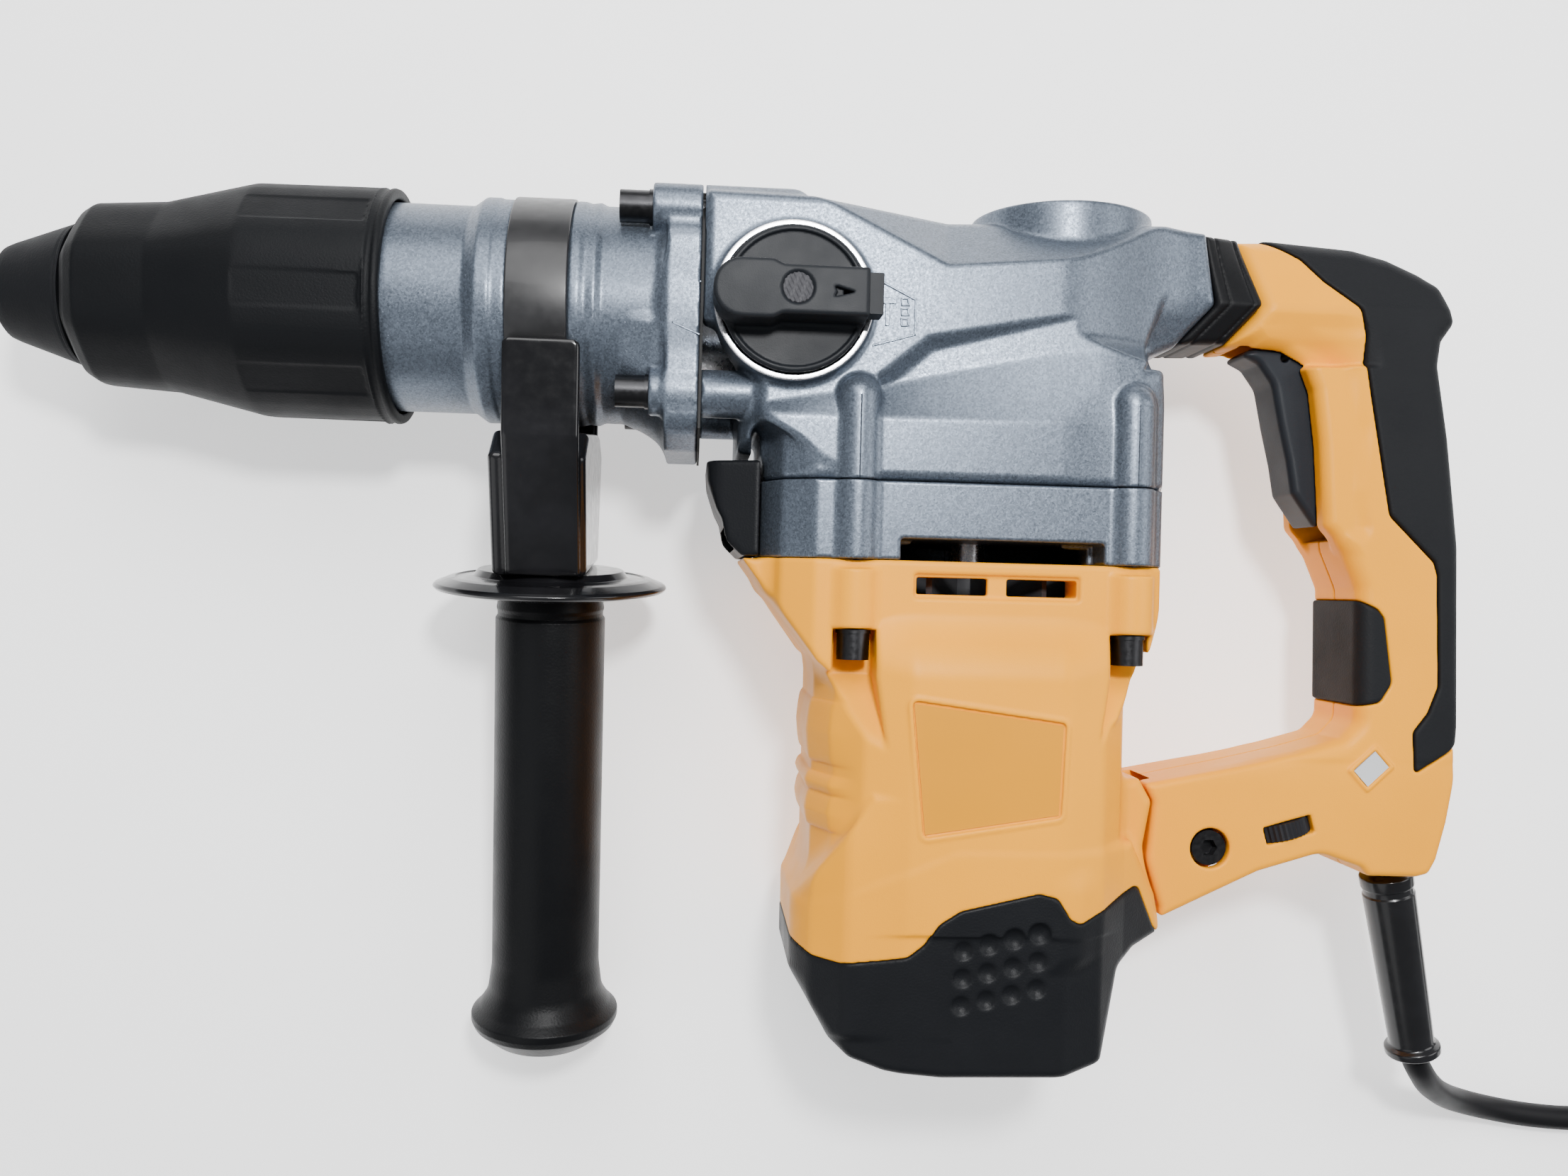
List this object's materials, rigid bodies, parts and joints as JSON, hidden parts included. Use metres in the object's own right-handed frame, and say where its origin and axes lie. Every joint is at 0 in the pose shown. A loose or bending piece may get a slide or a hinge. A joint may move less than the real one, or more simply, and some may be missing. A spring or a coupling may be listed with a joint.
{
  "type": "rotary hammer",
  "caption": "Corded rotary hammer with a splined-bit chuck, swivelling side handle, mode knob, upright motor and a sprung D-shaped rear handle.",
  "frame": {"origin": "centre of the tool holder's mouth, on the spindle axis", "axes": "+X runs from the tool holder's mouth to the rear handle along the spindle, +Y is the tool's top, and +Z is its right-hand side with the mode knob. The tool lies on its left side, so -Z points to the surface it rests on"},
  "size_m": [0.735, 0.3263, 0.109],
  "materials": {
    "cast_silver": "satin metallic paint on die casting",
    "gasket": "matte",
    "dark_cap": "satin",
    "black_plastic": "fine grain",
    "orange_plastic": "satin moulded",
    "ochre_label": "satin",
    "black_screw": "black oxide",
    "lamination": "stacked sheet",
    "copper": "enamelled wire",
    "brass": "satin",
    "carbon": "matte",
    "steel": "machined",
    "fan_plastic": "satin",
    "soft_rubber": "matte",
    "chuck_rubber": "matte",
    "knob_plastic": "satin",
    "black_band": "satin",
    "gloss_black": "gloss",
    "grip_plastic": "satin",
    "bellows_rubber": "satin",
    "trigger_plastic": "satin",
    "switch_plastic": "satin",
    "dial_plastic": "satin",
    "clear_lens": "clear",
    "gloss_guard": "gloss",
    "cord_rubber": "satin",
    "tie_rubber": "satin",
    "plug_rubber": "satin"
  },
  "bodies": {
    "housing": {"barrel_housing": "cast_silver", "barrel_gasket": "gasket", "gear_housing": "cast_silver", "grease_cap": "dark_cap", "gear_case_base": "cast_silver", "front_guard": "black_plastic", "motor_housing": "orange_plastic", "label_plate": "ochre_label", "motor_end_cap": "black_plastic", "front_screws": "black_screw", "front_washers": "black_screw", "motor_screws": "black_screw", "motor_washers": "black_screw", "end_cap_screws": "black_screw", "stator_core": "lamination", "stator_windings": "copper", "air_baffle": "black_plastic", "brush_holders": "brass", "carbon_brushes": "carbon", "bearings": "steel"},
    "armature": {"armature_shaft": "steel", "armature_core": "lamination", "commutator": "copper", "cooling_fan": "fan_plastic"},
    "crank": {"crank_gear": "steel"},
    "intermediate": {"intermediate_gear": "steel"},
    "spindle": {"tool_holder": "steel", "hammer_tube": "steel", "spindle_gear": "steel", "dust_cap": "soft_rubber", "lock_rollers": "steel", "sleeve_spring": "steel"},
    "sleeve": {"locking_sleeve": "chuck_rubber"},
    "impact": {"impact_bolt": "steel"},
    "striker": {"striker": "steel"},
    "piston": {"piston": "steel", "connecting_rod": "steel"},
    "knob": {"mode_knob": "knob_plastic"},
    "lock_button": {"knob_lock_button": "knob_plastic"},
    "side_handle": {"clamp_band": "black_band", "handle_bracket": "gloss_black", "hand_guard": "gloss_black"},
    "grip": {"side_grip": "grip_plastic", "clamp_bolt": "steel"},
    "rear_handle": {"handle_shell_right": "orange_plastic", "handle_shell_left": "orange_plastic", "rear_grip_pad": "soft_rubber", "front_grip_pad": "soft_rubber", "handle_bellows": "bellows_rubber", "trigger_spring": "steel", "switch_unit": "switch_plastic", "indicator_lens": "clear_lens", "pivot_bolt": "black_screw", "cable_guard": "gloss_guard", "cord": "cord_rubber", "cord_coil": "cord_rubber", "cord_tie": "tie_rubber", "mains_plug": "plug_rubber"},
    "trigger": {"trigger": "trigger_plastic"},
    "dial": {"speed_dial": "dial_plastic"}
  },
  "joints": [
    {"name": "armature_spin", "type": "hinge", "parent": "housing", "child": "armature", "pos_m": [0.311, 0, 0], "axis": [0, 1, 0], "continuous": true},
    {"name": "crank_spin", "type": "hinge", "parent": "housing", "child": "crank", "pos_m": [0.34, 0, 0], "axis": [0, 1, 0], "continuous": true},
    {"name": "intermediate_spin", "type": "hinge", "parent": "housing", "child": "intermediate", "pos_m": [0.286, 0, 0], "axis": [0, 1, 0], "continuous": true},
    {"name": "spindle_spin", "type": "hinge", "parent": "housing", "child": "spindle", "pos_m": [0, 0, 0], "axis": [1, 0, 0], "continuous": true},
    {"name": "sleeve_pull", "type": "slide", "parent": "spindle", "child": "sleeve", "axis": [1, 0, 0], "range_m": [0, 0.009], "stiffness_N_per_m": 2000, "springref_m": -0.005, "deforming": ["sleeve_spring"]},
    {"name": "impact_travel", "type": "slide", "parent": "spindle", "child": "impact", "axis": [1, 0, 0], "range_m": [-0.005, 0.003]},
    {"name": "striker_travel", "type": "slide", "parent": "spindle", "child": "striker", "axis": [1, 0, 0], "range_m": [-0.003, 0.022]},
    {"name": "piston_travel", "type": "slide", "parent": "housing", "child": "piston", "axis": [1, 0, 0], "range_m": [-0.024, 0]},
    {"name": "mode_turn", "type": "hinge", "parent": "housing", "child": "knob", "pos_m": [0.2475, -0.0015, 0.045], "axis": [0, 0, 1], "range_deg": [0, 180]},
    {"name": "lock_press", "type": "slide", "parent": "knob", "child": "lock_button", "axis": [-1, 0, 0], "range_m": [0, 0.003], "stiffness_N_per_m": 600, "springref_m": -0.002},
    {"name": "side_handle_swivel", "type": "hinge", "parent": "housing", "child": "side_handle", "pos_m": [0.1717, 0, 0], "axis": [1, 0, 0], "continuous": true},
    {"name": "grip_twist", "type": "hinge", "parent": "side_handle", "child": "grip", "pos_m": [0.1718, 0, 0], "axis": [0, -0.9945, -0.1045], "range_deg": [-30, 360]},
    {"name": "handle_swing", "type": "hinge", "parent": "housing", "child": "rear_handle", "pos_m": [0.3903, -0.1695, 0], "axis": [0, 0, 1], "range_deg": [-0.3, 1.5], "stiffness_Nm_per_rad": 900, "deforming": ["handle_bellows"]},
    {"name": "trigger_pull", "type": "hinge", "parent": "rear_handle", "child": "trigger", "pos_m": [0.4155, -0.0065, 0], "axis": [0, 0, 1], "range_deg": [0, 7], "stiffness_Nm_per_rad": 6, "springref_deg": -4.58, "deforming": ["trigger_spring"]},
    {"name": "dial_turn", "type": "hinge", "parent": "rear_handle", "child": "dial", "pos_m": [0.4168, -0.1632, 0.0102], "axis": [-0.2756, 0.9613, 0], "range_deg": [-135, 135]}
  ],
  "couplings": [
    {"joint": "crank_spin", "follows": "armature_spin", "ratio": -0.20833},
    {"joint": "intermediate_spin", "follows": "armature_spin", "ratio": -0.25},
    {"joint": "spindle_spin", "follows": "armature_spin", "ratio": 0.075}
  ]
}
